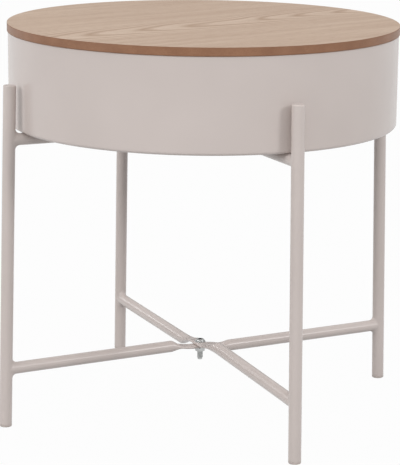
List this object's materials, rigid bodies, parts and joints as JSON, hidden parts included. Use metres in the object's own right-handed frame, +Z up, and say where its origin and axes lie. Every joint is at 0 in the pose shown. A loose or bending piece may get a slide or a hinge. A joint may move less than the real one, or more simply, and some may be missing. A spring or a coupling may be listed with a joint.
{
  "type": "side table",
  "caption": "Round side table: lift-off veneered lid on a steel storage drum, on crossed tube legs with pressed and bolted cross bars.",
  "frame": {"origin": "on the floor, under the centre of the round lid", "axes": "+Z up; X runs from the front left leg (-X) to the back right leg (+X), Y from the front right leg (-Y) to the back left leg (+Y)"},
  "size_m": [0.449, 0.449, 0.404],
  "materials": {
    "painted_steel": "warm pale grey powder coat, satin",
    "board_edge": "brown stained fibreboard edge, satin",
    "veneer": "pale ash-like veneer, clear matt lacquer",
    "cleat_wood": "planed softwood",
    "foot_plastic": "warm grey moulded plastic, matt",
    "zinc_steel": "bright zinc plate"
  },
  "bodies": {
    "base": {"leg_front_left": "painted_steel", "leg_cap_front_left": "painted_steel", "foot_glide_front_left": "foot_plastic", "leg_back_right": "painted_steel", "leg_cap_back_right": "painted_steel", "foot_glide_back_right": "foot_plastic", "leg_front_right": "painted_steel", "leg_cap_front_right": "painted_steel", "foot_glide_front_right": "foot_plastic", "leg_back_left": "painted_steel", "leg_cap_back_left": "painted_steel", "foot_glide_back_left": "foot_plastic", "weld_upper_front_left": "painted_steel", "weld_lower_front_left": "painted_steel", "weld_upper_back_right": "painted_steel", "weld_lower_back_right": "painted_steel", "weld_upper_front_right": "painted_steel", "weld_lower_front_right": "painted_steel", "weld_upper_back_left": "painted_steel", "weld_lower_back_left": "painted_steel", "upper_bar_a": "painted_steel", "lower_bar_a": "painted_steel", "upper_bar_b": "painted_steel", "lower_bar_b": "painted_steel", "drum_wall": "painted_steel", "drum_floor": "painted_steel", "lower_bolt": "zinc_steel", "lower_washer": "zinc_steel", "lower_nut": "zinc_steel", "upper_bolt": "zinc_steel", "upper_washer": "zinc_steel", "upper_spacer": "zinc_steel", "upper_nut": "zinc_steel"},
    "lid": {"lid_core": "board_edge", "lid_veneer_top": "veneer", "lid_veneer_bottom": "veneer", "lid_cleat_1": "cleat_wood", "lid_screw_1": "zinc_steel", "lid_cleat_2": "cleat_wood", "lid_screw_2": "zinc_steel", "lid_cleat_3": "cleat_wood", "lid_screw_3": "zinc_steel", "lid_cleat_4": "cleat_wood", "lid_screw_4": "zinc_steel"}
  },
  "joints": [
    {"name": "lid_lift", "type": "slide", "parent": "base", "child": "lid", "axis": [0, 0, 1], "range_m": [0, 0.15]}
  ]
}
